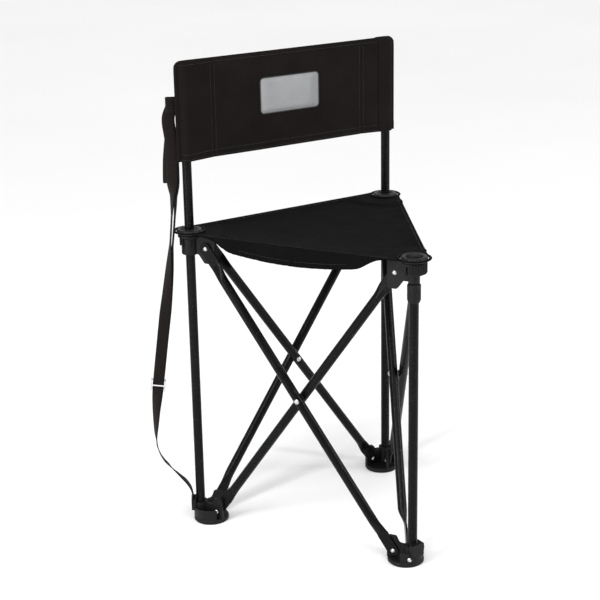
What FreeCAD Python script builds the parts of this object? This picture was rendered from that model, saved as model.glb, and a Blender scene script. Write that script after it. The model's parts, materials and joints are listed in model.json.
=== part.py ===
"""Folding three-leg stool with a fabric back, standing open.

Three legs stand at the corners of an equilateral triangle.  Each side of the triangle is a scissor
pair of struts, riveted together at their middles, whose lower ends are pinned to the feet and whose
upper ends are pinned to hubs that slide up the legs as the stool folds.  The two back legs run on up
into the back sleeve.  The front leg is short: a rod under the front hub telescopes in it.

Frame: millimetres, +Z up, the front leg towards -Y, +X to the sitter's left.
The origin is on the floor at the middle of the stool's own bounding box, its carry strap left out.
"""
import FreeCAD, Part
import math
import os

from FreeCAD import Vector

# ---- driving dimensions (mm, degrees) ----
LEG_SPACING = 412.0          # between leg axes, each side of the triangle
LEG_R = 8.0                  # 16 mm tube, legs and struts
TUBE_WALL = 1.1
BACK_LEG_TOP = 818.0
FRONT_LEG_TOP = 486.0
LEG_BOTTOM = 5.0

PIVOT_REACH = 33.0           # leg axis to the ear pivots, feet and hubs alike
FOOT_PIVOT_Z = 20.0
HUB_PIVOT_Z = 512.0
STRUT_OFFSET = 8.8           # strut axis from the plane of its side
FOLDED_SPACING = 94.0        # leg spacing when the feet meet

EAR_HALF = 3.0               # half the thickness of an ear
EAR_REACH = 45.5
PLATE_HALF = 1.6             # half the thickness of a strut's pressed end
PLATE_OFFSET = 5.0           # pressed end from the plane of its side
PLATE_HALF_WIDTH = 10.0
PLATE_LENGTH = 34.0
SWELL_LENGTH = 28.0          # from the pressed end to the full tube
RIVET_R = 2.5
RUNNING = 0.1                # radial clearance of a turning pin
SLIDING = 0.3                # radial clearance of a hub on its leg

FOOT_R = 31.0
FOOT_INSET = 18.5            # foot centre inwards of the leg axis
FOOT_BASE = 8.0
FOOT_WALL_TOP = 27.0
FOOT_SOCKET_R = 12.5
FOOT_SOCKET_TOP = 36.0
FOOT_WALL = (-56.0, 108.0)   # the outer wall's ends, turned about the foot's centre from outwards
LEG_PIN_Z = 15.0             # rivet through the foot into the leg
LEG_PIN_ANGLE = -55.0        # where its head faces, from outwards
LEG_BOSS_R = 6.2
LEG_BOSS_OUT = 17.0
LEG_HEAD_R = 3.8
LUG_OUT = 16.5               # face of the strap lug, outwards of the leg axis

HUB_BOSS_R = 14.5
HUB_EAR_TOP = 531.5
HUB_FLANGE_R = 20.0
HUB_FLANGE_Z = 528.0
HUB_FLANGE_TOP = 533.5
HUB_TOP_R = 13.0
HUB_TOP_Z = 543.0
RING_R = 22.0
RING_BORE_R = 13.6
RING_BOTTOM = 534.0
RING_TOP = 543.0

ROD_R = 6.2
ROD_BOTTOM = 300.0
NECK_R = 9.5
NECK_BOTTOM = 498.0
COLLAR_R = 11.2
COLLAR_BOTTOM = 466.0
COLLAR_TOP = 497.0

SEAT_Z = 539.5               # middle of the cloth at the corners
SEAT_HALF = 1.5
SEAT_CENTRE_SAG = 13.0
SEAT_EDGE_OUT = 25.0         # the taut edges, outside the lines of the legs
LOBE_R = 28.0                # cloth round a corner's ring
CUTOUT_R = RING_R + 1.2      # hole in the cloth for the ring
LIP_START = 43.0             # from a leg, along a side, to where the cloth's edge starts to hang
LIP_RUN = 50.0
LIP_DEPTH = 29.5             # at the middle of a side
HEM_INSET = 24.0             # where a corner patch starts, inwards of the leg axis

BACK_BOTTOM = 660.0
BACK_TOP = 828.0
BACK_HALF_WIDTH = 223.0
BACK_LOBE_R = 10.4
BACK_SEAM_X = 152.0
BACK_PANEL_HALF = 2.0
BACK_CORNER_R = 13.0
LABEL_HALF_WIDTH = 60.0
LABEL_BOTTOM = 721.0
LABEL_TOP = 783.0

WEBBING_WIDTH = 20.0
WEBBING_THICKNESS = 1.6
WEBBING_GAP = 0.3            # half the gap between the doubled layers

# strap route beside the left leg: outwards of the leg axis, height
STRAP_UPPER = [(20.5, 753), (27, 740), (29, 727), (26, 704), (24, 686)]
STRAP_TURNED = [(26, 610), (28.8, 565), (33.5, 515)]
STRAP_LOWER = [(43, 425), (70, 232), (73, 190)]
STRAP_SINGLE = [(73, 190), (75, 160), (70, 131), (54, 106), (36, 87), (20.5, 70), (13, 52), (11.8, 30.5)]
TURN_TOP = 662.0             # the webbing is on edge from here
TURN_BOTTOM = 470.0          # to here, clear of the hub's travel
SLIDER_Z = 261.0

# ---- what follows from them ----
CIRCLE_R = LEG_SPACING / math.sqrt(3)
STATIONS = {"front": -90.0, "right": 30.0, "left": 150.0}
NEXT = {"front": "right", "right": "left", "left": "front"}
SIDE_ANGLE = 150.0           # from a station's outward direction to its two sides
PIVOT_SPAN = LEG_SPACING - 2 * PIVOT_REACH
PIVOT_RISE = HUB_PIVOT_Z - FOOT_PIVOT_Z
STRUT_LENGTH = math.hypot(PIVOT_SPAN, PIVOT_RISE)
STRUT_ANGLE = math.atan2(PIVOT_RISE, PIVOT_SPAN)
FOLD_DEG = math.degrees(math.acos((FOLDED_SPACING - 2 * PIVOT_REACH) / STRUT_LENGTH) - STRUT_ANGLE)
CENTRE = Vector(0, CIRCLE_R / 4, 0)            # of the triangle of legs

Z_AXIS = Vector(0, 0, 1)
ORIGIN = Vector(0, 0, 0)


# ---- small helpers ----
def save(name, *solids):
    """Write one node: one solid, or a group of separate ones."""
    shape = solids[0] if len(solids) == 1 else Part.makeCompound(list(solids))
    for solid in shape.Solids:
        if not solid.isValid():
            raise RuntimeError(f"{name} is not a valid solid")
    shape.exportStep(f"parts/{name}.step")


def joined(*shapes):
    whole = shapes[0].multiFuse(list(shapes[1:]))
    if len(whole.Solids) != 1:
        raise RuntimeError("pieces of one solid do not meet")
    return whole.Solids[0]


def without(shape, *tools):
    left = shape.cut(list(tools))
    if len(left.Solids) != 1:
        raise RuntimeError(f"a cut took a solid apart: {[round(s.Volume, 2) for s in left.Solids]}")
    return left.Solids[0]


def turned(shape, degrees):
    moved = shape.copy()
    moved.rotate(ORIGIN, Z_AXIS, degrees)
    return moved


def leg_axis(station):
    angle = math.radians(STATIONS[station])
    return Vector(CIRCLE_R * math.cos(angle), CIRCLE_R * math.sin(angle) + CENTRE.y, 0)


def at_station(shape, station):
    """From the leg's own frame, +X outwards, to the stool's frame."""
    moved = turned(shape, STATIONS[station])
    moved.translate(leg_axis(station))
    return moved


def drum(radius, low, high, x=0.0, y=0.0):
    return Part.makeCylinder(radius, high - low, Vector(x, y, low))


def block(x0, x1, y0, y1, z0, z1):
    return Part.makeBox(x1 - x0, y1 - y0, z1 - z0, Vector(x0, y0, z0))


def corner_arc(before, corner, after, radius):
    """Start, middle and end of the arc that rounds one corner of an outline."""
    a = (before - corner).normalize()
    b = (after - corner).normalize()
    half = a.getAngle(b) / 2
    reach = radius / math.tan(half)
    centre = corner + (a + b).normalize() * (radius / math.sin(half))
    middle = centre + (corner - centre).normalize() * radius
    return corner + a * reach, middle, corner + b * reach


def rounded_face(points, radii):
    """A flat face whose outline's corners are arcs of the given radii; 0 leaves one sharp."""
    count = len(points)
    spans = []
    for i, corner in enumerate(points):
        if radii[i] > 0:
            spans.append(corner_arc(points[i - 1], corner, points[(i + 1) % count], radii[i]))
        else:
            spans.append((corner, None, corner))
    edges = []
    for i, (start, middle, end) in enumerate(spans):
        if middle is not None:
            edges.append(Part.Arc(start, middle, end).toShape())
        ahead = spans[(i + 1) % count][0]
        if (ahead - end).Length > 1e-6:
            edges.append(Part.LineSegment(end, ahead).toShape())
    return Part.Face(Part.Wire(edges))


def upright_plate(outline, radii, half):
    """A plate in the XZ plane, centred on it, from (x, z) points."""
    face = rounded_face([Vector(x, -half, z) for x, z in outline], radii)
    return face.extrude(Vector(0, 2 * half, 0))


def spun(outline, radii, degrees=360.0):
    """A solid of revolution about Z from (r, z) points."""
    face = rounded_face([Vector(r, 0, z) for r, z in outline], radii)
    return face.revolve(ORIGIN, Z_AXIS, degrees)


def cross_pin(radius, low, high, x, z):
    """A round pin along Y at (x, z)."""
    return Part.makeCylinder(radius, high - low, Vector(x, low, z), Vector(0, 1, 0))


def rivet_head(radius, height, base, direction, x, z):
    """A domed head whose flat face is at y = base, bulging along the direction, +1 or -1."""
    ball_r = (radius ** 2 + height ** 2) / (2 * height)
    ball = Part.makeSphere(ball_r, Vector(x, base + direction * (height - ball_r), z))
    disc = cross_pin(radius, min(base, base + direction * height),
                     max(base, base + direction * height), x, z)
    return ball.common(disc)


def rivet(low, high, x, z, head_r=3.9, head_h=1.7):
    """A pin along Y from low to high with a domed head on each end."""
    pin = cross_pin(RIVET_R, low - 0.3, high + 0.3, x, z)
    return joined(pin, rivet_head(head_r, head_h, low, -1, x, z), rivet_head(head_r, head_h, high, 1, x, z))


# ---- feet ----
def foot_ear():
    """Ear in the XZ plane, X along its side: a tongue beside the strut's pressed end."""
    outline = [(5, 6), (EAR_REACH, 6), (EAR_REACH, 46), (30, 46), (24, 34), (5, 34)]
    ear = upright_plate(outline, [0, 0, 5, 4, 6, 0], EAR_HALF)
    hole = cross_pin(RIVET_R, -EAR_HALF - 1, EAR_HALF + 1, PIVOT_REACH, FOOT_PIVOT_Z)
    return without(ear, hole)


def strap_lug():
    """Flat boss on the outside of the leg socket."""
    lug = block(LEG_R, LUG_OUT, -12.5, 12.5, 22, 42)
    uprights = [edge for edge in lug.Edges if edge.BoundBox.ZLength > 19]
    return lug.makeFillet(1.5, uprights)


def strap_slot():
    """Slot down into the lug for the end of the strap."""
    half = WEBBING_WIDTH / 2 + 0.6
    return block(LUG_OUT - 6.7, LUG_OUT - 2.8, -half, half, 29, 43)


def foot():
    """Moulded cup in the leg's frame: base, outer wall, leg socket, rivet boss, strap lug and ears."""
    base = spun([(0, 0), (FOOT_R - 1.5, 0), (FOOT_R, 1.5), (FOOT_R, FOOT_BASE), (0, FOOT_BASE)],
                [0, 0, 0, 2.5, 0])
    start, end = FOOT_WALL
    wall = spun([(27.2, 6), (29.8, 6), (31.5, FOOT_WALL_TOP), (28.9, FOOT_WALL_TOP)],
                [0, 0, 1.2, 1.2], end - start)
    wall = turned(wall, start)
    for part in (base, wall):
        part.translate(Vector(-FOOT_INSET, 0, 0))
    socket = drum(FOOT_SOCKET_R, 4, FOOT_SOCKET_TOP)
    boss = leg_pin(LEG_R, LEG_BOSS_OUT, LEG_BOSS_R)
    ears = [turned(foot_ear(), side) for side in (SIDE_ANGLE, -SIDE_ANGLE)]
    ribs = [turned(block(8, 24, -1.5, 1.5, 6, 22), angle) for angle in (105, -90)]
    cup = joined(base, socket, boss, strap_lug(), *ears, *ribs, wall)
    head_room = leg_pin(LEG_BOSS_OUT, LEG_BOSS_OUT + 5, LEG_HEAD_R + 0.3)
    return without(cup, drum(LEG_R, LEG_BOTTOM, 60), leg_pin(0, LEG_BOSS_OUT + 5), head_room, strap_slot())


def leg_pin(inner, outer, radius=RIVET_R):
    """Round pin across the leg, from inner to outer of its axis, facing the way the rivet does."""
    pin = Part.makeCylinder(radius, outer - inner, Vector(inner, 0, LEG_PIN_Z), Vector(1, 0, 0))
    return turned(pin, LEG_PIN_ANGLE)


def leg_rivet():
    """Pin through the foot's boss into the leg, with one domed head outside."""
    head = turned(rivet_head(LEG_HEAD_R, 1.6, LEG_BOSS_OUT, 1, 0, LEG_PIN_Z), LEG_PIN_ANGLE - 90)
    return joined(leg_pin(-LEG_R + 1, LEG_BOSS_OUT + 0.3), head)


# ---- legs ----
def leg_tube(top):
    tube = drum(LEG_R, LEG_BOTTOM, top)
    bore = drum(LEG_R - TUBE_WALL, LEG_BOTTOM - 1, top + 1)
    return without(tube, bore, leg_pin(-LEG_R + 1, LEG_R + 5))


def leg_cap():
    """Plug in the top of a back leg."""
    plug_r = LEG_R - TUBE_WALL
    z = BACK_LEG_TOP
    return spun([(0, z - 14), (plug_r - 0.6, z - 14), (plug_r, z - 12), (plug_r, z), (LEG_R, z),
                 (LEG_R, z + 3.2), (0, z + 3.2)], [0, 0, 0, 0, 0, 2.2, 0])


def guide_collar():
    """Moulded guide on the top of the front leg that the telescoping rod runs in."""
    sleeve = spun([(LEG_R, COLLAR_BOTTOM), (LEG_R + 1.6, COLLAR_BOTTOM), (COLLAR_R, COLLAR_BOTTOM + 5),
                   (COLLAR_R, COLLAR_TOP - 2), (COLLAR_R - 1.4, COLLAR_TOP), (ROD_R + RUNNING, COLLAR_TOP),
                   (ROD_R + RUNNING, FRONT_LEG_TOP), (LEG_R, FRONT_LEG_TOP)],
                  [0, 1, 2, 1, 0.8, 0, 0, 0])
    flats = [turned(block(COLLAR_R - 0.7, COLLAR_R + 2, -2, 2, COLLAR_BOTTOM + 8, COLLAR_TOP - 6), a)
             for a in range(0, 360, 60)]
    return without(sleeve, *flats)


# ---- hubs ----
def hub_ear():
    """Ear in the XZ plane, X along its side, hanging beside the strut's pressed end."""
    z = HUB_PIVOT_Z
    outline = [(5, z - 12), (18, z - 12), (29, z - 27), (EAR_REACH, z - 27), (EAR_REACH, HUB_EAR_TOP),
               (5, HUB_EAR_TOP)]
    ear = upright_plate(outline, [0, 5, 4, 6, 3, 0], EAR_HALF)
    hole = cross_pin(RIVET_R, -EAR_HALF - 1, EAR_HALF + 1, PIVOT_REACH, z)
    return without(ear, hole)


def hub_body(boss_bottom):
    """Boss, flange and ears, in the leg's frame, before its bore."""
    boss = spun([(0, boss_bottom), (HUB_BOSS_R - 1, boss_bottom), (HUB_BOSS_R, boss_bottom + 1.5),
                 (HUB_BOSS_R, HUB_FLANGE_Z), (HUB_FLANGE_R, HUB_FLANGE_Z + 1.5),
                 (HUB_FLANGE_R, HUB_FLANGE_TOP), (HUB_TOP_R, HUB_FLANGE_TOP), (HUB_TOP_R, HUB_TOP_Z),
                 (0, HUB_TOP_Z)], [0, 0.6, 0, 3, 0.5, 1, 0, 1.2, 0])
    ears = [turned(hub_ear(), side) for side in (SIDE_ANGLE, -SIDE_ANGLE)]
    ribs = [turned(block(10, HUB_FLANGE_R - 2.5, -1.2, 1.2, HUB_PIVOT_Z + 2, HUB_FLANGE_Z + 2), a)
            for a in (-90, -45, 0, 45, 90)]
    return joined(boss, *ears, *ribs)


def back_hub():
    hub = hub_body(HUB_PIVOT_Z - 13)
    return without(hub, drum(LEG_R + SLIDING, 400, 600))


def front_hub():
    """As the back hubs, but closed over the telescoping rod, with a neck and a fluted skirt."""
    neck = spun([(0, NECK_BOTTOM), (NECK_R, NECK_BOTTOM), (NECK_R, HUB_PIVOT_Z + 6), (0, HUB_PIVOT_Z + 6)],
                [0, 1.2, 0, 0])
    skirt = spun([(17.5, 515), (20.2, 515), (20.2, HUB_FLANGE_TOP - 1), (17.5, HUB_FLANGE_TOP - 1)],
                 [0, 0.8, 0, 0], 150)
    flutes = [turned(drum(1.1, 516.5, HUB_FLANGE_TOP - 1.5, 20.2), -60 + 12 * i) for i in range(12)]
    hub = joined(hub_body(HUB_PIVOT_Z), neck, turned(skirt, -66), *flutes)
    return without(hub, drum(ROD_R, 400, HUB_FLANGE_Z))


def seat_ring():
    """Moulded ring that the cloth's corner is sewn round; it sits on the hub's flange."""
    return spun([(RING_BORE_R, RING_BOTTOM), (RING_R, RING_BOTTOM), (RING_R, RING_TOP),
                 (RING_BORE_R, RING_TOP)], [1, 3.6, 3.6, 2])


def front_cap():
    z = HUB_TOP_Z
    return spun([(0, z), (HUB_TOP_R, z), (HUB_TOP_R, z + 1.4), (HUB_TOP_R - 3, z + 3), (0, z + 3.2)],
                [0, 0, 1, 2, 0])


def ear_rivets(pivot_z):
    """The two rivets of one foot or hub.  Each clamps an ear and the end of one strut, which lies on
    the +Y side of both ears of a foot and on the -Y side of both ears of a hub."""
    strut_face = PLATE_OFFSET + PLATE_HALF + 0.3
    low, high = (-EAR_HALF, strut_face) if pivot_z == FOOT_PIVOT_Z else (-strut_face, EAR_HALF)
    pin = rivet(low, high, PIVOT_REACH, pivot_z)
    return [turned(pin, side) for side in (SIDE_ANGLE, -SIDE_ANGLE)]


# ---- struts ----
def oval(centre, wide, thick):
    """Level outline, wide along Y and thick along X, that starts on its +Y side."""
    if wide - thick > 1e-6:
        curve = Part.Ellipse(centre + Vector(0, wide, 0), centre + Vector(-thick, 0, 0), centre)
    else:
        curve = Part.Circle(centre, Z_AXIS, wide)
        curve.XAxis = Vector(0, 1, 0)
    return Part.Wire(curve.toShape())


def pressed_end():
    """Lower end of a strut that stands on the origin: flat plate, then a swelling to the tube.
    X is away from the plane of the side; the tube's axis is X = 0."""
    shift = PLATE_OFFSET - STRUT_OFFSET
    plate = Part.makeBox(2 * PLATE_HALF, 2 * PLATE_HALF_WIDTH, PLATE_LENGTH,
                         Vector(shift - PLATE_HALF, -PLATE_HALF_WIDTH, 0))
    tip = Part.makeCylinder(PLATE_HALF_WIDTH, 2 * PLATE_HALF, Vector(shift - PLATE_HALF, 0, 0),
                            Vector(1, 0, 0))
    flat_wide = PLATE_HALF_WIDTH + 0.6
    flat_thick = PLATE_HALF + 0.4
    sections = []
    for share in (0, 0.2, 0.4, 0.6, 0.8, 1):
        ease = share * share * (3 - 2 * share)
        centre = Vector(shift * (1 - ease), 0, PLATE_LENGTH - 4 + (SWELL_LENGTH + 4) * share)
        wide = flat_wide + (LEG_R - flat_wide) * ease
        thick = flat_thick + (LEG_R - flat_thick) * ease
        sections.append(oval(centre, wide, thick))
    swelling = Part.makeLoft(sections, True, False)
    return joined(plate, tip, swelling)


def strut_along_z():
    """A strut standing on its lower pivot at the origin."""
    lower = pressed_end()
    upper = lower.mirror(Vector(0, 0, STRUT_LENGTH / 2), Z_AXIS)
    end = PLATE_LENGTH + SWELL_LENGTH
    tube = Part.makeCylinder(LEG_R, STRUT_LENGTH - 2 * end, Vector(0, 0, end))
    bore = Part.makeCylinder(LEG_R - TUBE_WALL, STRUT_LENGTH - 2 * end - 4, Vector(0, 0, end + 2))
    strut = without(joined(lower, tube, upper), bore)
    middle = STRUT_LENGTH / 2
    holes = [Part.makeCylinder(RIVET_R + RUNNING, 40, Vector(-20, 0, z), Vector(1, 0, 0))
             for z in (0, middle, STRUT_LENGTH)]
    dimple = Part.makeCylinder(6.4, 5, Vector(LEG_R - 0.8, 0, middle), Vector(1, 0, 0))
    return without(strut, dimple, *holes)


def side_frame(station):
    """Direction and outward normal of the side from a station to the next one."""
    along = (leg_axis(NEXT[station]) - leg_axis(station)).normalize()
    return along, Vector(along.y, -along.x, 0)


def place_strut(shape, foot_station, along, outwards):
    """Stand a strut on the foot's pivot, leaning along the side; outwards is its X direction."""
    lean = along * math.cos(STRUT_ANGLE) + Z_AXIS * math.sin(STRUT_ANGLE)
    across = lean.cross(outwards)
    base = leg_axis(foot_station) + along * PIVOT_REACH + Z_AXIS * FOOT_PIVOT_Z + outwards * STRUT_OFFSET
    matrix = FreeCAD.Matrix(outwards.x, across.x, lean.x, base.x,
                            outwards.y, across.y, lean.y, base.y,
                            outwards.z, across.z, lean.z, base.z,
                            0, 0, 0, 1)
    moved = shape.copy()
    moved.Placement = FreeCAD.Placement(matrix)
    return moved


def cross_hardware(station):
    """The rivet through the middle of a scissor pair, and the washer between its struts."""
    along, outwards = side_frame(station)
    crest = STRUT_OFFSET + LEG_R - 0.7
    pin = rivet(-crest, crest, 0, 0, 4.6, 2.0)
    washer = cross_pin(6.5, STRUT_OFFSET - LEG_R - 1.0, STRUT_OFFSET - LEG_R, 0, 0)
    washer = without(washer, cross_pin(RIVET_R, -5, 5, 0, 0))
    middle = leg_axis(station) + along * (LEG_SPACING / 2)
    middle.z = (FOOT_PIVOT_Z + HUB_PIVOT_Z) / 2
    placed = []
    for shape in (pin, washer):
        matrix = FreeCAD.Matrix(-along.x, outwards.x, 0, middle.x,
                                -along.y, outwards.y, 0, middle.y,
                                0, 0, 1, middle.z,
                                0, 0, 0, 1)
        moved = shape.copy()
        moved.Placement = FreeCAD.Placement(matrix)
        placed.append(moved)
    return placed


# ---- seat ----
def seat_height(place):
    """Middle of the cloth over a place: level along its edges, lowest over the middle of the stool."""
    sag = SEAT_CENTRE_SAG
    for station in STATIONS:
        _, outwards = side_frame(station)
        sag *= max(1 - outwards.dot(place - CENTRE) / (CIRCLE_R / 2 + SEAT_EDGE_OUT), 0)
    return SEAT_Z - sag


def lip_depth(distance):
    """How far the cloth hangs at its edge, at a distance along the side from the nearer leg."""
    near = min(max((distance - LIP_START) / LIP_RUN, 0), 1)
    share = distance / (LEG_SPACING / 2)
    return LIP_DEPTH * near * near * (3 - 2 * near) * share * (2 - share)


def seat_rim():
    """Places round the cloth's edge, counter-clockwise, each with its outward direction and the depth
    of the lip that hangs there."""
    rim = []
    from_leg = (28, 43, 55, 67, 80, 95, 125, 163)
    distances = (*from_leg, LEG_SPACING / 2, *(LEG_SPACING - d for d in reversed(from_leg)))
    for station, facing in STATIONS.items():
        for turn in range(-60, 61, 20):
            angle = math.radians(facing + turn)
            outwards = Vector(math.cos(angle), math.sin(angle), 0)
            rim.append((leg_axis(station) + outwards * LOBE_R, outwards, 0.0))
        along, outwards = side_frame(station)
        for distance in distances:
            place = leg_axis(station) + along * distance + outwards * SEAT_EDGE_OUT
            rim.append((place, outwards, lip_depth(min(distance, LEG_SPACING - distance))))
    return rim


def skin_loop(rim, share, lift):
    """The rim drawn in towards the middle, on the cloth's upper or lower face."""
    loop = []
    for place, _, _ in rim:
        inner = CENTRE + (place - CENTRE) * share
        loop.append(Vector(inner.x, inner.y, seat_height(inner) + lift))
    return loop


def lip_loop(rim, inset, depth_share):
    """The rim moved in by the inset, at a share of the lip's depth below the cloth's lower face."""
    return [place - outwards * inset + Z_AXIS * (SEAT_Z - SEAT_HALF - depth * depth_share)
            for place, outwards, depth in rim]


def seat_cloth():
    """A slung three-cornered cloth as a closed solid of flat facets: a shallow dish between taut edges,
    a lip that hangs from each edge, and a hole at each corner for its ring."""
    rim = seat_rim()
    shares = (0.35, 0.62, 0.85)
    loops = [skin_loop(rim, share, SEAT_HALF) for share in (*shares, 1.0)]
    loops += [lip_loop(rim, 0, 1), lip_loop(rim, 2 * SEAT_HALF, 1), lip_loop(rim, 2 * SEAT_HALF + 2, 0)]
    loops += [skin_loop(rim, share, -SEAT_HALF) for share in reversed(shares)]
    triangles = []
    for i in range(len(rim)):
        j = (i + 1) % len(rim)
        for a, b in zip(loops, loops[1:]):
            triangles += [(a[i], a[j], b[i]), (a[j], b[j], b[i])]
        for loop, lift in ((loops[0], SEAT_HALF), (loops[-1], -SEAT_HALF)):
            triangles.append((loop[i], loop[j], CENTRE + Z_AXIS * (seat_height(CENTRE) + lift)))
    faces = [Part.Face(Part.makePolygon([a, b, c, a])) for a, b, c in triangles]
    solid = Part.Solid(Part.Shell(faces))
    if solid.Volume < 0:
        solid.reverse()
    holes = []
    for station in STATIONS:
        axis = leg_axis(station)
        holes.append(drum(CUTOUT_R, SEAT_Z - 40, SEAT_Z + 40, axis.x, axis.y))
    return without(solid, *holes)


def corner_patch():
    """Reinforcing patch sewn under the cloth just inside a corner's ring."""
    outline = [(-HEM_INSET - 2, -15), (-HEM_INSET - 2, 15), (-HEM_INSET - 24, 21), (-HEM_INSET - 34, 0),
               (-HEM_INSET - 24, -21)]
    low = SEAT_Z - 6.9
    face = rounded_face([Vector(x, y, low) for x, y in outline], [2, 2, 5, 8, 5])
    return face.extrude(Vector(0, 0, 1.0))


# ---- back ----
def quarter_section():
    """Front right quarter of the sleeve seen from above: edges from the middle of the panel out to the
    sleeve's end.  X = 0 is the middle of the stool, Y = 0 the plane of the leg axes."""
    leg_x = LEG_SPACING / 2
    lean = math.atan2(BACK_LOBE_R - BACK_PANEL_HALF, leg_x - BACK_SEAM_X)
    middle = Vector(0, -BACK_PANEL_HALF, 0)
    seam = Vector(BACK_SEAM_X, -BACK_PANEL_HALF, 0)
    touch = Vector(leg_x - BACK_LOBE_R * math.sin(lean), -BACK_LOBE_R * math.cos(lean), 0)
    crown = Vector(leg_x, -BACK_LOBE_R, 0)
    fin = Vector(leg_x + math.sqrt(BACK_LOBE_R ** 2 - BACK_PANEL_HALF ** 2), -BACK_PANEL_HALF, 0)
    corner = Vector(BACK_HALF_WIDTH, -BACK_PANEL_HALF, 0)
    end = Vector(BACK_HALF_WIDTH, 0, 0)
    runs = [Part.LineSegment(a, b).toShape() for a, b in
            ((middle, seam), (seam, touch), (fin, corner), (corner, end))]
    return runs + [Part.Arc(touch, crown, fin).toShape()]


def back_sleeve():
    """Flat cloth sleeve: a pocket round each back leg, a thin panel between the pockets' seams."""
    right = quarter_section()
    right += [edge.mirror(ORIGIN, Vector(0, 1, 0)) for edge in right]
    outline = right + [edge.mirror(ORIGIN, Vector(1, 0, 0)) for edge in right]
    section = Part.Face(Part.Wire(Part.__sortEdges__(outline)))
    body = section.extrude(Vector(0, 0, BACK_TOP - BACK_BOTTOM))
    body.translate(Vector(0, 0, BACK_BOTTOM))
    w = BACK_HALF_WIDTH
    front_view = upright_plate([(-w, BACK_BOTTOM), (w, BACK_BOTTOM), (w, BACK_TOP), (-w, BACK_TOP)],
                               [4, 4, BACK_CORNER_R, BACK_CORNER_R], 30)
    body = body.common(front_view).Solids[0]
    pockets = [drum(LEG_R + 0.4, BACK_BOTTOM - 1, BACK_LEG_TOP + 4.2, x) for x in
               (-LEG_SPACING / 2, LEG_SPACING / 2)]
    body = without(body, *pockets)
    body.translate(Vector(0, leg_axis("left").y, 0))
    return body


def back_label():
    """Plain woven label sewn on the front of the back panel."""
    y = leg_axis("left").y - BACK_PANEL_HALF - 0.9
    w = LABEL_HALF_WIDTH
    outline = ((-w, LABEL_BOTTOM), (w, LABEL_BOTTOM), (w, LABEL_TOP), (-w, LABEL_TOP))
    face = rounded_face([Vector(x, y, z) for x, z in outline], [8, 8, 8, 8])
    return face.extrude(Vector(0, 0.7, 0))


# ---- carry strap ----
def route_corners(route):
    """Arc radius at each inner point: 0.45 of the shorter run over the tangent of half the turn."""
    corners = []
    for before, here, after in zip(route, route[1:], route[2:]):
        a = here - before
        b = after - here
        turn = a.getAngle(b)
        corners.append(0.45 * min(a.Length, b.Length) / math.tan(turn / 2))
    return corners


def ribbon(route, low, high, label):
    """Flat face along a route in the XZ plane, straight runs and tangent arcs, between two distances
    from the route; a route that runs down has its positive side towards the leg."""
    points = [Vector(x, 0, z) for x, z in route]
    radii = route_corners(points)
    print(label, "arc radii", [round(r) for r in radii])
    spans = [(points[0], None, points[0])]
    for i, radius in enumerate(radii):
        spans.append(corner_arc(points[i], points[i + 1], points[i + 2], radius))
    spans.append((points[-1], None, points[-1]))
    sides = []
    for distance in (high, low):
        offset = []
        for i, (start, middle, end) in enumerate(spans):
            ahead = points[min(i + 1, len(points) - 1)] - points[min(i, len(points) - 2)]
            behind = points[max(i, 1)] - points[max(i, 1) - 1]
            n0 = Vector(behind.z, 0, -behind.x).normalize()
            n1 = Vector(ahead.z, 0, -ahead.x).normalize()
            mid = None if middle is None else middle + (n0 + n1).normalize() * distance
            offset.append((start + n0 * distance, mid, end + n1 * distance))
        sides.append(offset)
    edges = []
    for offset in sides:
        for i, (start, middle, end) in enumerate(offset):
            if middle is not None:
                edges.append(Part.Arc(start, middle, end).toShape())
            if i + 1 < len(offset):
                edges.append(Part.LineSegment(end, offset[i + 1][0]).toShape())
    edges.append(Part.LineSegment(sides[0][0][0], sides[1][0][0]).toShape())
    edges.append(Part.LineSegment(sides[0][-1][2], sides[1][-1][2]).toShape())
    return Part.Face(Part.Wire(Part.__sortEdges__(edges)))


def between(above, below, z):
    """The point at a height on the straight run between two points of a route."""
    (xa, za), (xb, zb) = above, below
    return xa + (xb - xa) * (za - z) / (za - zb), z


def slider_centre():
    return between(STRAP_LOWER[0], STRAP_LOWER[1], SLIDER_Z)


def doubled_layer(ending, side, label):
    """One layer of the doubled webbing, from the tab to the end of a route: flat to the side, but on
    edge where the hub and the seat's corner pass it.  side is 1 for the outer layer, -1 for the inner."""
    top = between(STRAP_UPPER[-1], STRAP_TURNED[0], TURN_TOP)
    bottom = between(STRAP_TURNED[-1], STRAP_LOWER[0], TURN_BOTTOM)
    near, far = sorted((side * WEBBING_GAP, side * (WEBBING_GAP + WEBBING_THICKNESS)))
    half = WEBBING_WIDTH / 2
    bands = []
    for name, route in (("upper", [*STRAP_UPPER, top]), ("lower", [bottom, *ending])):
        band = ribbon(route, -half, half, f"{label}, {name}").extrude(Vector(0, WEBBING_THICKNESS, 0))
        band.translate(Vector(0, near, 0))
        bands.append(band)
    turned = ribbon([top, *STRAP_TURNED, bottom], -far, -near, f"{label}, on edge")
    turned = turned.extrude(Vector(0, WEBBING_WIDTH, 0))
    turned.translate(Vector(0, -half, 0))
    return joined(*bands, turned)


def carry_strap():
    """Webbing from the tab on the back down to the left foot, where it ends on edge."""
    upper = doubled_layer(STRAP_LOWER, 1, "carry strap")
    half = WEBBING_THICKNESS / 2
    single = ribbon(STRAP_SINGLE, -half, half, "carry strap, single").extrude(Vector(0, WEBBING_WIDTH, 0))
    single.translate(Vector(0, -WEBBING_WIDTH / 2, 0))
    return at_station(joined(upper, single), "left")


def strap_return():
    """The second layer, from the tab down to the slider."""
    return at_station(doubled_layer([STRAP_LOWER[0], slider_centre()], -1, "strap return"), "left")


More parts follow.
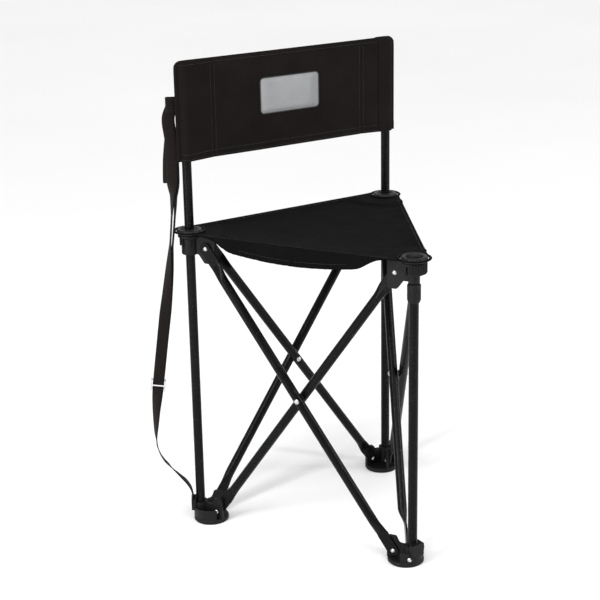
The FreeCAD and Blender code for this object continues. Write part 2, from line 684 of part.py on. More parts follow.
def strap_slider():
    """Metal slide adjuster: two bars before the webbing, one behind it, joined by side rails."""
    half_w = WEBBING_WIDTH / 2 + 1.0
    rail = 2.2
    front = WEBBING_GAP + WEBBING_THICKNESS + 0.5
    bar_r = 1.5
    rails = [block(x, x + rail, -front - 2.4, front + 2.4, -10.5, 10.5) for x in (-half_w - rail, half_w)]
    bars = []
    for y, z in ((-front - bar_r, -8.2), (-front - bar_r, 8.2), (front + bar_r, 0)):
        bars.append(Part.makeCylinder(bar_r, 2 * half_w + 2, Vector(-half_w - 1, y, z), Vector(1, 0, 0)))
    rails = [r.makeFillet(0.9, r.Edges) for r in rails]
    body = joined(*rails, *bars)
    (xa, za), (xb, zb) = STRAP_LOWER[:2]
    body.rotate(ORIGIN, Vector(0, 1, 0), -math.degrees(math.atan2(xb - xa, za - zb)))
    x0, z0 = slider_centre()
    body.translate(Vector(x0, 0, z0))
    return at_station(body, "left")


def strap_tab():
    """Folded webbing tab sewn to the pocket's back, holding both layers of the strap."""
    inner = BACK_LOBE_R + 0.3
    outline = [(inner, 745), (17, 743), (26, 748), (26, 760), (18, 768), (inner, 768)]
    tab = upright_plate(outline, [1, 2, 3, 3, 2, 1], 3.4)
    return at_station(tab, "left")


# ---- write the nodes ----
def write_station(station):
    front = station == "front"
    save(f"foot_{station}", at_station(foot(), station))
    save(f"leg_{station}", at_station(leg_tube(FRONT_LEG_TOP if front else BACK_LEG_TOP), station))
    save(f"leg_rivet_{station}", at_station(leg_rivet(), station))
    save(f"foot_rivets_{station}", *[at_station(r, station) for r in ear_rivets(FOOT_PIVOT_Z)])
    save(f"hub_{station}", at_station(front_hub() if front else back_hub(), station))
    save(f"hub_rivets_{station}", *[at_station(r, station) for r in ear_rivets(HUB_PIVOT_Z)])
    save(f"seat_ring_{station}", at_station(seat_ring(), station))
    save(f"seat_patch_{station}", at_station(corner_patch(), station))
    if not front:
        save(f"leg_cap_{station}", at_station(leg_cap(), station))


def write_side(station, strut):
    """The scissor pair between a station and the next; a strut is named hub first, foot second."""
    other = NEXT[station]
    along, outwards = side_frame(station)
    save(f"strut_{station}_{other}", place_strut(strut, other, -along, outwards))
    save(f"strut_{other}_{station}", place_strut(strut, station, along, -outwards))
    pin, washer = cross_hardware(station)
    save(f"cross_rivet_{station}_{other}", pin)
    save(f"cross_washer_{station}_{other}", washer)


def main():
    os.makedirs("parts", exist_ok=True)
    strut = strut_along_z()
    for station in STATIONS:
        write_station(station)
        write_side(station, strut)
    save("guide_collar", at_station(guide_collar(), "front"))
    save("slide_rod", at_station(drum(ROD_R, ROD_BOTTOM, HUB_FLANGE_Z), "front"))
    save("hub_cap_front", at_station(front_cap(), "front"))
    save("seat_cloth", seat_cloth())
    save("back_sleeve", back_sleeve())
    save("back_label", back_label())
    save("carry_strap", carry_strap())
    save("strap_return", strap_return())
    save("strap_slider", strap_slider())
    save("strap_tab", strap_tab())
    print("fold, degrees:", round(FOLD_DEG, 3), " strut length:", round(STRUT_LENGTH, 2))
    print("centre of the legs, y:", round(CENTRE.y, 3))


main()
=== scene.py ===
"""Looks of the folding three-leg stool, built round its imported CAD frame.

Metres, +Z up, in the row frame.  A station is one leg with its hub; its own frame has +X outwards from
the middle of the stool and +Y towards the next station, counter-clockwise seen from above.
"""

import json
import math

import bpy
import numpy as np
from mathutils import Matrix, Vector, noise


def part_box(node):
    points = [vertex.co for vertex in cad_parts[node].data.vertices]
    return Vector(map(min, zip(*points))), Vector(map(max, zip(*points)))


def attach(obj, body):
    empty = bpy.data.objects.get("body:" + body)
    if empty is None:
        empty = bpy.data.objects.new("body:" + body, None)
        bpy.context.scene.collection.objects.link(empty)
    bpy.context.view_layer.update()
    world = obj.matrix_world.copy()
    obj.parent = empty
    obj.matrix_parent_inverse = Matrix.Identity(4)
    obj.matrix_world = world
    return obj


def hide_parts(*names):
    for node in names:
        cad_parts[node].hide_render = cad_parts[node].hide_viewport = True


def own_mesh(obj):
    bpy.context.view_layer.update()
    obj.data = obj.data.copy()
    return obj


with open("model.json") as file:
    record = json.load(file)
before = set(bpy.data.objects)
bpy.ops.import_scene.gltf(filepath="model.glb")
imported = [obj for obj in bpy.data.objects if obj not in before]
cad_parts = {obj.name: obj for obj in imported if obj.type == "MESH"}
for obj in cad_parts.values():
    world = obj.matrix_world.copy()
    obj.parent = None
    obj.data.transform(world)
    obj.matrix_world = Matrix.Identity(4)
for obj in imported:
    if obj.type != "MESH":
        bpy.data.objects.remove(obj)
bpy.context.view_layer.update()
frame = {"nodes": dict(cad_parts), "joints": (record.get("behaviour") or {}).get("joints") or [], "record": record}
MM = 0.001

# ---- camera: place, turn from +Y towards +X, pitch below level and roll (degrees), lens ----
CAMERA_PLACE = (-1.3849, -1.9806, 1.2188)
CAMERA_TURN = 32.959
CAMERA_PITCH = 18.218
CAMERA_ROLL = -1.065
CAMERA_LENS = 89.886

# ---- places read from the frame ----
STATIONS = {"front": -90.0, "right": 30.0, "left": 150.0}


def leg_axis(station):
    low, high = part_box(f"leg_{station}")
    return Vector(((low.x + high.x) / 2, (low.y + high.y) / 2, 0))


AXES = {station: leg_axis(station) for station in STATIONS}
CENTRE = sum(AXES.values(), Vector()) / 3
LEG_SPACING = (AXES["right"] - AXES["left"]).length
CIRCLE_R = LEG_SPACING / math.sqrt(3)
BACK_Y = AXES["left"].y
HINGE_Z = next(j["pos_m"][2] for j in frame["joints"] if j["name"] == "seat_droop_front")
HINGE_IN = (AXES["front"] - Vector(
    next(j["pos_m"] for j in frame["joints"] if j["name"] == "seat_droop_front"))).to_2d().length

# ---- seat cloth ----
CLOTH = 1.4 * MM
RING_GAP = 1.2 * MM              # round a ring, to the hole in the cloth
EDGE_OUT = 23.5 * MM             # crest of a taut edge, outside the line of the legs
RING_LOBE_R = 28 * MM            # cloth round a corner's ring
CENTRE_SAG = 13 * MM
LIP_START = 43 * MM              # from a leg, along a side, to where the edge starts to hang
LIP_RUN = 50 * MM
LIP_DEPTH = 29.5 * MM
LIP_FLARE = 2 * MM
LIP_SHARES = np.array([0, 0.05, 0.14, 0.3, 0.48, 0.66, 0.84, 1])
EDGE_ROWS = 36
SEAM_ROWS = 16
COLUMNS = 20                     # cells each side of a sector's middle line
STITCH_PITCH = 4.2 * MM
STITCH_R = 0.32 * MM
JOINED = 0.02 * MM               # grid points in one cell of this size are one point
HELD_R = 60 * MM                 # round a leg, held while the cloth settles
SETTLE_FRAMES = 16
SETTLE_MOST = 3.5 * MM           # furthest that settling may move a point
HEM_BEAD = (1.1 * MM, 1.5 * MM)  # half width and half height
LIP_STITCH_IN = 8 * MM           # from the hem's edge
CREST_STITCH_IN = 6 * MM         # inside the crest of an edge
BINDING_R = 25.7 * MM            # middle of the binding round a ring
BINDING_ROLL = (2.6 * MM, 1.6 * MM)

# ---- back sleeve ----
SLEEVE_LOW, SLEEVE_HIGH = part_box("back_sleeve")
SLEEVE_CLOTH = 1.1 * MM
PANEL_HALF = 2.0 * MM            # half thickness between the seams
LOBE_R = 10.4 * MM               # pocket round a leg
SEAM_X = 152 * MM                # from the middle of the back
POCKET_REACH = 20 * MM           # a pocket piece starts this far inwards of its leg
SPLIT_X = LEG_SPACING / 2 - POCKET_REACH
LABEL_EDGE = (0.95 * MM, 0.7 * MM)
HEM = 15 * MM
TOP_BAND = 9 * MM
CORNER_R = 13 * MM

# ---- carry strap: outwards of the left leg's axis, height ----
WEBBING_WIDTH = 20 * MM
WEBBING_THICK = 1.6 * MM
LAYER_GAP = 2.2 * MM
STRAP_ROUTE = [(20.5, 753), (27, 740), (29, 727), (26, 704), (24, 686), (26, 610), (28.8, 565),
               (33.5, 515), (43, 425), (70, 232), (73, 190), (75, 160), (70, 131), (54, 106),
               (36, 87), (20.5, 70), (13, 52), (11.8, 30.5)]
LAYER_ROUTE = [(20.5, 752), (26, 740), (27.5, 727), (24, 704), (22.5, 686), (23, 610), (25.5, 565),
               (31.5, 515), (42.5, 425), (66, 261)]
# short loose end of the webbing
TAIL_ROUTE = [(25, 704), (28, 685), (32, 655), (33.5, 622)]
# turn of the webbing about its own line, by height: 0 is flat to the side, 90 edge-on to it
TWIST = [(30, 90), (75, 88), (112, 64), (150, 88), (185, 64), (214, 46), (261, 8), (344, 0), (385, 6),
         (417, 32), (475, 60), (515, 84), (565, 84), (600, 70), (625, 20), (757, 0)]


# ---- materials ----
def new_material(name, roughness, metallic=0.0, specular=0.5):
    material = bpy.data.materials.new(name)
    material.use_nodes = True
    shader = material.node_tree.nodes["Principled BSDF"]
    shader.inputs["Roughness"].default_value = roughness
    shader.inputs["Metallic"].default_value = metallic
    shader.inputs["Specular IOR Level"].default_value = specular
    return material, material.node_tree, shader


def add(tree, kind, settings=None, **inputs):
    """A node with its properties set, and its inputs set to values or linked to sockets."""
    made = tree.nodes.new(kind)
    for name, value in (settings or {}).items():
        setattr(made, name, value)
    for name, value in inputs.items():
        socket = made.inputs[int(name[1:])] if name[1:].isdigit() else made.inputs[name.replace("_", " ")]
        if isinstance(value, bpy.types.NodeSocket):
            tree.links.new(value, socket)
        else:
            socket.default_value = value
    return made


def speckle(tree, place, scale, low, high, detail=3.0):
    """Noise that runs from low to high."""
    grain = add(tree, "ShaderNodeTexNoise", Vector=place, Scale=scale, Detail=detail)
    return add(tree, "ShaderNodeMapRange", Value=grain.outputs["Fac"], From_Min=0.3, From_Max=0.7,
               To_Min=low, To_Max=high).outputs["Result"]


def tinted(tree, factor, dark, light):
    mix = add(tree, "ShaderNodeMix", {"data_type": "RGBA"})
    tree.links.new(factor, mix.inputs["Factor"])
    mix.inputs[6].default_value = (*dark, 1)
    mix.inputs[7].default_value = (*light, 1)
    return mix.outputs[2]


def add_bump(tree, shader, height, distance, strength=1.0, under=None):
    made = add(tree, "ShaderNodeBump", Height=height, Distance=distance, Strength=strength)
    if under is not None:
        tree.links.new(under, made.inputs["Normal"])
    tree.links.new(made.outputs["Normal"], shader.inputs["Normal"])
    return made.outputs["Normal"]


def object_place(tree):
    return add(tree, "ShaderNodeTexCoord").outputs["Object"]


def powder_coat():
    """Semi-gloss black paint on tube: slight orange peel, cloudy gloss and pale scuffs."""
    material, tree, shader = new_material("powder_coat", 0.26, specular=0.1)
    place = object_place(tree)
    cloud = speckle(tree, place, 22, 0, 1)
    scuff = speckle(tree, place, 260, 0, 1, 8)
    rub = add(tree, "ShaderNodeMath", {"operation": "POWER"}, i0=scuff, i1=9.0)
    colour = tinted(tree, cloud, (0.0018, 0.0018, 0.002), (0.004, 0.004, 0.0043))
    worn = add(tree, "ShaderNodeMix", {"data_type": "RGBA"})
    tree.links.new(rub.outputs[0], worn.inputs["Factor"])
    tree.links.new(colour, worn.inputs[6])
    worn.inputs[7].default_value = (0.018, 0.018, 0.019, 1)
    tree.links.new(worn.outputs[2], shader.inputs["Base Color"])
    tree.links.new(speckle(tree, place, 60, 0.2, 0.32), shader.inputs["Roughness"])
    add_bump(tree, shader, speckle(tree, place, 900, 0, 1, 1), 0.00006)
    return material


def moulded_plastic(name, base, roughness, grain):
    """Injection-moulded plastic with a fine spark-eroded grain."""
    material, tree, shader = new_material(name, roughness, specular=0.14)
    place = object_place(tree)
    cloud = speckle(tree, place, 35, 0, 1, 5)
    lighter = tuple(c * 1.5 for c in base)
    tree.links.new(tinted(tree, cloud, base, lighter), shader.inputs["Base Color"])
    tree.links.new(speckle(tree, place, 90, roughness - 0.06, roughness + 0.08), shader.inputs["Roughness"])
    fine = speckle(tree, place, 2200, 0, 1, 2)
    broad = speckle(tree, place, 130, 0, 1, 2)
    under = add_bump(tree, shader, broad, 0.00012, 0.5)
    add_bump(tree, shader, fine, grain, 0.6, under)
    return material


def plated_steel(name, base, roughness):
    """Bright plated steel with faint brushing and dull spots."""
    material, tree, shader = new_material(name, roughness, metallic=1.0)
    place = object_place(tree)
    stretched = add(tree, "ShaderNodeMapping", Vector=place, Scale=(1, 1, 14)).outputs["Vector"]
    brushed = speckle(tree, stretched, 700, 0, 1, 4)
    spots = speckle(tree, place, 300, 0, 1, 4)
    dull = tuple(c * 0.72 for c in base)
    tree.links.new(tinted(tree, spots, dull, base), shader.inputs["Base Color"])
    tree.links.new(speckle(tree, place, 240, roughness - 0.08, roughness + 0.12), shader.inputs["Roughness"])
    add_bump(tree, shader, brushed, 0.00003, 0.5)
    return material


def threads(tree, pitch):
    """Plain weave in the cloth's own coordinates: height from 0, between threads, to 1."""
    flat = add(tree, "ShaderNodeAttribute", {"attribute_name": "cloth"}).outputs["Vector"]
    wobble = add(tree, "ShaderNodeTexNoise", Vector=flat, Scale=90.0, Detail=2.0).outputs["Color"]
    shifted = add(tree, "ShaderNodeVectorMath", {"operation": "MULTIPLY_ADD"}, i0=wobble,
                  i1=(pitch * 0.9,) * 3, i2=flat).outputs["Vector"]
    turns = add(tree, "ShaderNodeVectorMath", {"operation": "SCALE"}, i0=shifted, Scale=math.pi / pitch)
    waves = add(tree, "ShaderNodeVectorMath", {"operation": "SINE"}, i0=turns.outputs["Vector"])
    split = add(tree, "ShaderNodeSeparateXYZ", Vector=waves.outputs["Vector"])
    cross = add(tree, "ShaderNodeMath", {"operation": "MULTIPLY"}, i0=split.outputs["X"],
                i1=split.outputs["Y"])
    return flat, add(tree, "ShaderNodeMath", {"operation": "MULTIPLY_ADD"}, i0=cross.outputs[0], i1=0.5,
                     i2=0.5).outputs[0]


def woven(name, dark, light, pitch, sheen, roughness=0.9):
    """Coarse polyester cloth: a painted highlight that makes the colour lighter on the threads' crowns, rubbed and
    creased patches.
    """
    material, tree, shader = new_material(name, roughness, specular=0.05)
    flat, crown = threads(tree, pitch)
    patches = speckle(tree, flat, 14, 0, 1, 5)
    # painted highlight: base colour lighter on the crowns of the threads
    painted_crown_highlight = add(tree, "ShaderNodeMath", {"operation": "MULTIPLY_ADD"}, i0=crown, i1=0.55, i2=0.0)
    total = add(tree, "ShaderNodeMath", {"operation": "MULTIPLY_ADD"}, i0=patches, i1=0.45,
                i2=painted_crown_highlight.outputs[0])
    tree.links.new(tinted(tree, total.outputs[0], dark, light), shader.inputs["Base Color"])
    tree.links.new(speckle(tree, flat, 30, roughness - 0.1, roughness), shader.inputs["Roughness"])
    shader.inputs["Sheen Weight"].default_value = sheen
    shader.inputs["Sheen Roughness"].default_value = 0.4
    creases = add_bump(tree, shader, speckle(tree, flat, 42, 0, 1, 4), 0.0007, 0.5)
    add_bump(tree, shader, crown, 0.00025, 0.8, creases)
    return material


def webbing(name, dark, light):
    """Flat woven strap: ribs that meet in a chevron along its middle, with a painted highlight that makes the
    colour lighter on their crowns.
    """
    material, tree, shader = new_material(name, 0.75, specular=0.08)
    flat = add(tree, "ShaderNodeAttribute", {"attribute_name": "cloth"}).outputs["Vector"]
    split = add(tree, "ShaderNodeSeparateXYZ", Vector=flat)
    away = add(tree, "ShaderNodeMath", {"operation": "ABSOLUTE"}, i0=split.outputs["X"])
    slant = add(tree, "ShaderNodeMath", {"operation": "ADD"}, i0=split.outputs["Y"], i1=away.outputs[0])
    turns = add(tree, "ShaderNodeMath", {"operation": "MULTIPLY"}, i0=slant.outputs[0],
                i1=2 * math.pi / (1.5 * MM))
    rib = add(tree, "ShaderNodeMath", {"operation": "SINE"}, i0=turns.outputs[0])
    crown = add(tree, "ShaderNodeMath", {"operation": "MULTIPLY_ADD"}, i0=rib.outputs[0], i1=0.5, i2=0.5)
    fuzz = speckle(tree, flat, 300, 0, 1, 3)
    # painted highlight: base colour lighter on the crowns of the ribs
    painted_rib_highlight = add(tree, "ShaderNodeMath", {"operation": "MULTIPLY_ADD"}, i0=crown.outputs[0], i1=0.6,
                i2=0.0)
    total = add(tree, "ShaderNodeMath", {"operation": "MULTIPLY_ADD"}, i0=fuzz, i1=0.4,
                i2=painted_rib_highlight.outputs[0])
    tree.links.new(tinted(tree, total.outputs[0], dark, light), shader.inputs["Base Color"])
    shader.inputs["Sheen Weight"].default_value = 0.04
    add_bump(tree, shader, crown.outputs[0], 0.0004, 0.9)
    return material


def pale_floor():
    material, tree, shader = new_material("floor", 0.85, specular=0.1)
    cloud = speckle(tree, object_place(tree), 0.8, 0, 1)
    tree.links.new(tinted(tree, cloud, (0.90, 0.90, 0.90), (0.93, 0.93, 0.93)), shader.inputs["Base Color"])
    return material


MATERIALS = {
    "powder_coat": powder_coat(),
    "rivet_steel": plated_steel("rivet_steel", (0.62, 0.62, 0.63), 0.32),
    "moulded_plastic": moulded_plastic("moulded_plastic", (0.0062, 0.0058, 0.006), 0.5, 0.00006),
    "ring_plastic": moulded_plastic("ring_plastic", (0.010, 0.010, 0.0105), 0.3, 0.00002),
    "nylon_washer": moulded_plastic("nylon_washer", (0.014, 0.014, 0.014), 0.42, 0.00002),
    "seat_fabric": woven("seat_fabric", (0.0016, 0.0016, 0.0018), (0.0044, 0.0043, 0.0046), 0.8 * MM, 0.006),
    "back_fabric": woven("back_fabric", (0.0046, 0.0037, 0.0034), (0.0108, 0.0086, 0.0080), 0.8 * MM, 0.012),
    "webbing": webbing("webbing", (0.0036, 0.0027, 0.0023), (0.0115, 0.0088, 0.0074)),
    "slider_steel": plated_steel("slider_steel", (0.75, 0.75, 0.76), 0.2),
    "label_fabric": woven("label_fabric", (0.20, 0.205, 0.21), (0.34, 0.345, 0.35), 0.5 * MM, 0.1, 0.8),
}
THREAD = woven("sewing_thread", (0.010, 0.010, 0.010), (0.03, 0.03, 0.03), 0.3 * MM, 0.2, 0.7)


def finish_cad_nodes():
    for part in frame["record"]["subparts"]:
        data = frame["nodes"][part["node"]].data
        data.materials.clear()
        data.materials.append(MATERIALS[part["material_slot"]])


# ---- mesh helpers ----
class Parts:
    """Vertices, faces and cloth coordinates gathered for one mesh; a face has its own material."""

    def __init__(self):
        self.points, self.flat, self.faces, self.normals, self.kinds = [], [], [], [], []

    def put(self, points, faces, flat=None, normals=None, kind=0):
        """normals gives one for each corner of each face, or none for the face's own."""
        start = len(self.points)
        self.points += [tuple(p) for p in points]
        self.flat += [tuple(f) for f in flat] if flat is not None else [tuple(p) for p in points]
        for i, face in enumerate(faces):
            self.faces.append([start + v for v in face])
            self.normals += normals[i] if normals is not None else [(0, 0, 0)] * len(face)
            self.kinds.append(kind)

    def piece(self, name, body, slot, materials):
        mesh = bpy.data.meshes.new(name)
        mesh.from_pydata(self.points, [], self.faces)
        for material in materials:
            mesh.materials.append(material)
        mesh.polygons.foreach_set("material_index", self.kinds)
        mesh.polygons.foreach_set("use_smooth", [True] * len(self.faces))
        flat = mesh.attributes.new("cloth", "FLOAT_VECTOR", "POINT")
        flat.data.foreach_set("vector", np.array(self.flat, np.float32).ravel())
        if any(n != (0, 0, 0) for n in self.normals):
            mesh.normals_split_custom_set(self.normals)
        made = bpy.data.objects.new(name, mesh)
        bpy.context.scene.collection.objects.link(made)
        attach(made, body)
        return made


def edge_loops(faces):
    """Directed edges that only one face has, as that face runs them."""
    directed = {}
    for face in faces:
        for a, b in zip(face, list(face[1:]) + [face[0]]):
            directed[(a, b)] = True
    return [(a, b) for a, b in directed if (b, a) not in directed]


def put_cloth(parts, points, faces, normals, flat, thick, centred=False):
    """A sheet of one thickness: the surface is its outer face, or its middle if centred."""
    points = np.asarray(points, float)
    normals = np.asarray(normals, float)
    outer = points + normals * (thick / 2 if centred else 0)
    inner = outer - normals * thick
    count = len(points)
    around = [tuple(n) for n in normals]
    skins = [list(f) for f in faces] + [[count + v for v in reversed(f)] for f in faces]
    corners = [[around[v] for v in f] for f in faces]
    corners += [[tuple(-np.array(around[v])) for v in reversed(f)] for f in faces]
    rims = [[b, a, count + a, count + b] for a, b in edge_loops(faces)]
    corners += [[(0, 0, 0)] * 4 for _ in rims]
    under = np.asarray(flat, float) + (0, 0, 1)
    parts.put(np.concatenate([outer, inner]), skins + rims, np.concatenate([flat, under]), corners)


def grid_faces(rows, columns):
    return [(r * columns + c, r * columns + c + 1, (r + 1) * columns + c + 1, (r + 1) * columns + c)
            for r in range(rows - 1) for c in range(columns - 1)]


def oval(wide, high, count):
    """Section of a bead, from its half width and half height."""
    return [(wide * math.cos(a), high * math.sin(a)) for a in np.arange(count) * math.pi / (count / 2)]


def swept(parts, path, ups, section, kind=0):
    """A closed tube: section points (sideways, up) carried along the path, with flat ends."""
    path = np.asarray(path, float)
    along = np.gradient(path, axis=0)
    along /= np.linalg.norm(along, axis=1)[:, None]
    ups = np.asarray(ups, float)
    ups = ups - along * (ups * along).sum(1)[:, None]
    ups /= np.linalg.norm(ups, axis=1)[:, None]
    sides = np.cross(along, ups)
    run = np.concatenate([[0], np.cumsum(np.linalg.norm(np.diff(path, axis=0), axis=1))])
    points, flat = [], []
    for i, p in enumerate(path):
        for s, u in section:
            points.append(p + sides[i] * s + ups[i] * u)
            flat.append((s, run[i], 0))
    n = len(section)
    faces = [(i * n + j, (i + 1) * n + j, (i + 1) * n + (j + 1) % n, i * n + (j + 1) % n)
             for i in range(len(path) - 1) for j in range(n)]
    faces.append(tuple(range(n)))
    faces.append(tuple(reversed(range((len(path) - 1) * n, len(path) * n))))
    parts.put(points, faces, flat, kind=kind)


def put_stitches(parts, path, ups):
    """Short raised stitches of the second material along a path that lies on the cloth."""
    path = np.asarray(path, float)
    run = np.concatenate([[0], np.cumsum(np.linalg.norm(np.diff(path, axis=0), axis=1))])
    ups = np.asarray(ups, float)
    ring = oval(STITCH_R, STITCH_R, 6)
    for start in np.arange(STITCH_PITCH * 0.2, run[-1] - STITCH_PITCH * 0.8, STITCH_PITCH):
        at = np.array([start, start + STITCH_PITCH * 0.36, start + STITCH_PITCH * 0.72])
        line = np.stack([np.interp(at, run, path[:, k]) for k in range(3)], axis=1)
        up = np.stack([np.interp(at, run, ups[:, k]) for k in range(3)], axis=1)
        line[1] += up[1] * STITCH_R * 0.7
        swept(parts, line, up, ring, kind=1)


# ---- seat ----
COS30 = math.cos(math.radians(30))


def station_axes(station):
    angle = math.radians(STATIONS[station])
    return np.array([math.cos(angle), math.sin(angle), 0]), np.array([-math.sin(angle), math.cos(angle), 0])


def to_row(station, x, y, z):
    """Points in a station's frame, as arrays, to the row frame."""
    out, side = station_axes(station)
    x, y, z = np.broadcast_arrays(x, y, z)
    return (np.array(AXES[station]) + x[..., None] * out + y[..., None] * side + z[..., None] * (0, 0, 1))


def half_width(x):
    """From a sector's middle line to the crest of its edge, or to the next sector."""
    return np.minimum((EDGE_OUT - x / 2) / COS30, (x + CIRCLE_R) * math.tan(math.radians(60)))


def row_places():
    """Rows of a sector: along its edges to their middles, then on to the middle of the stool."""
    turn = EDGE_OUT / 2 - LEG_SPACING / 2 * COS30
    return np.concatenate([np.linspace(-HINGE_IN, turn, EDGE_ROWS),
                           np.linspace(turn, -CIRCLE_R, SEAM_ROWS + 1)[1:]])


def seat_height(points):
    """Middle of the unstretched cloth: level along its edges, lowest over the middle of the stool."""
    sag = CENTRE_SAG
    for facing in STATIONS.values():
        across = math.radians(facing + 60)
        out = (points[..., 0] - CENTRE.x) * math.cos(across) + (points[..., 1] - CENTRE.y) * math.sin(across)
        sag = sag * np.clip(1 - out / (CIRCLE_R / 2 + EDGE_OUT), 0, None)
    return HINGE_Z - sag


def sector_grid(station):
    """One third of the seat, inwards of its corner's hinge line: points, and the same laid flat."""
    x = row_places()
    share = np.linspace(-1, 1, 2 * COLUMNS + 1)
    rows = to_row(station, x[:, None], half_width(x)[:, None] * share, 0.0)
    flat = rows.copy()
    rows[..., 2] = seat_height(rows)
    return rows, flat


def lip_grid(station, sign):
    """The lip that hangs from one edge of a sector: rows along the edge, columns down it."""
    x = row_places()[:EDGE_ROWS]
    y = half_width(x)
    along = y / 2 - COS30 * x
    near = np.clip((along - LIP_START) / LIP_RUN, 0, 1)
    share = along / (LEG_SPACING / 2)
    depth = LIP_DEPTH * near ** 2 * (3 - 2 * near) * share * (2 - share) + 1.5 * MM
    drop = depth[:, None] * LIP_SHARES
    wave = np.array([noise.noise(Vector((a * 28, sign * 3.0, STATIONS[station]))) for a in along])
    out = LIP_FLARE * (1 - np.exp(-drop / LIP_FLARE)) + 0.09 * drop * wave[:, None]
    rows = to_row(station, x[:, None] + out / 2, sign * (y[:, None] + out * COS30), HINGE_Z - drop)
    flat = to_row(station, x[:, None] + drop / 2, sign * (y[:, None] + drop * COS30), 0.0)
    return rows, flat


def corner_grid(station):
    """Cloth round a corner's ring, outwards of the hinge line: rows outwards, columns round."""
    low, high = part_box(f"seat_ring_{station}")
    hole = (high.x - low.x) / 2 + RING_GAP
    corner = math.degrees(math.atan2(float(half_width(-HINGE_IN)), -HINGE_IN))
    angle = np.array(sorted({*range(-180, 181, 5), corner, -corner}))
    turn = np.abs(angle)
    past = np.clip((turn - 60) / 60, 0, 1)
    lobe = EDGE_OUT + (RING_LOBE_R - EDGE_OUT) * (1 - past) ** 2
    edge = lobe / np.cos(np.radians(np.clip(turn - 60, 0, 80)))
    hinge = HINGE_IN / np.maximum(-np.cos(np.radians(turn)), 1e-6)
    reach = np.minimum(edge, hinge)
    radius = hole + (reach - hole) * np.linspace(0, 1, 6)[:, None]
    angle = np.radians(angle)
    rows = to_row(station, radius * np.cos(angle), radius * np.sin(angle), 0.0)
    flat = rows.copy()
    rows[..., 2] = seat_height(rows)
    return rows, flat


def face_normals(points, faces):
    """Mean normal at each point of a mesh of triangles and quads."""
    faces = np.array([list(f) + [f[-1]] * (4 - len(f)) for f in faces])
    across = np.cross(points[faces[:, 2]] - points[faces[:, 0]], points[faces[:, 3]] - points[faces[:, 1]])
    normals = np.zeros_like(points)
    for k in range(4):
        np.add.at(normals, faces[:, k], across)
    return normals / np.maximum(np.linalg.norm(normals, axis=1), 1e-12)[:, None]


def settled(points, faces, held):
    """The points after a short cloth simulation, none moved further than SETTLE_MOST."""
    mesh = bpy.data.meshes.new("settling")
    mesh.from_pydata([tuple(p) for p in points], [], faces)
    cloth = bpy.data.objects.new("settling", mesh)
    bpy.context.scene.collection.objects.link(cloth)
    group = cloth.vertex_groups.new(name="held")
    group.add([int(i) for i in np.nonzero(held)[0]], 1.0, "REPLACE")
    modifier = cloth.modifiers.new("cloth", "CLOTH")
    modifier.settings.vertex_group_mass = "held"
    modifier.settings.quality = 6
    modifier.settings.mass = 0.3
    modifier.settings.tension_stiffness = 40
    modifier.settings.compression_stiffness = 12
    modifier.settings.shear_stiffness = 8
    modifier.settings.bending_stiffness = 0.5
    modifier.settings.air_damping = 4
    modifier.settings.shrink_min = -0.012
    modifier.point_cache.frame_end = SETTLE_FRAMES
    for step in range(1, SETTLE_FRAMES + 1):
        bpy.context.scene.frame_set(step)
    result = cloth.evaluated_get(bpy.context.evaluated_depsgraph_get()).data
    moved = np.array([v.co for v in result.vertices], float)
    bpy.context.scene.frame_set(1)
    bpy.data.objects.remove(cloth)
    shift = moved - points
    size = np.linalg.norm(shift, axis=1)[:, None]
    return points + shift * np.minimum(1, SETTLE_MOST / np.maximum(size, 1e-9)) * ~held[:, None]


class Seat:
    """The slung cloth as one mesh, with the grids it was made from as arrays of point numbers."""

    def __init__(self):
        grids = {}
        for station in STATIONS:
            grids[station, 0] = sector_grid(station)
            for sign in (1, -1):
                grids[station, sign] = lip_grid(station, sign)
        points = np.concatenate([rows.reshape(-1, 3) for rows, _ in grids.values()])
        flat = np.concatenate([laid.reshape(-1, 3) for _, laid in grids.values()])
        cells = np.round(points / JOINED + 0.31).astype(int)
        _, first, number = np.unique(cells, axis=0, return_index=True, return_inverse=True)
        self.points, self.flat = points[first], flat[first]
        self.grids, self.faces, start = {}, {}, 0
        for key, (rows, _) in grids.items():
            count = rows[..., 0].size
            grid = number.ravel()[start:start + count].reshape(rows.shape[:2])
            self.grids[key] = grid
            self.faces[key] = self.joined_faces(grid, key[1] < 0)
            start += count
        every = sum(self.faces.values(), [])
        held = np.min([np.linalg.norm((self.points - np.array(axis))[:, :2], axis=1)
                       for axis in AXES.values()], axis=0) < HELD_R
        for key, grid in self.grids.items():
            if key[1]:
                held[grid[:, 0]] = True
        self.points = settled(self.points, every, held)
        self.normals = face_normals(self.points, every)

    @staticmethod
    def joined_faces(grid, flipped):
        """Faces of a grid of point numbers, without corners that have become one point."""
        faces = []
        for face in grid_faces(*grid.shape):
            corners = list(dict.fromkeys(int(grid.ravel()[v]) for v in face))
            if len(corners) > 2:
                faces.append(corners[::-1] if flipped else corners)
        return faces

    def sector(self, station):
        """Points, faces, normals and flat places of one third of the cloth."""
        faces = sum((self.faces[station, part] for part in (0, 1, -1)), [])
        used = sorted({v for face in faces for v in face})
        place = {v: i for i, v in enumerate(used)}
        return (self.points[used], [[place[v] for v in face] for face in faces], self.normals[used],
                self.flat[used])

    def line(self, key, rows, column, inwards=0.0):
        """Points and normals down one column of a grid, moved along its rows by a distance."""
        grid = self.grids[key][rows]
        toward = 1 if column == 0 else -1
        here = self.points[grid[:, column]]
        ahead = self.points[grid[:, column + 4 * toward]] - here
        step = ahead / np.linalg.norm(ahead, axis=1)[:, None]
        return here + step * inwards, self.normals[grid[:, column]]


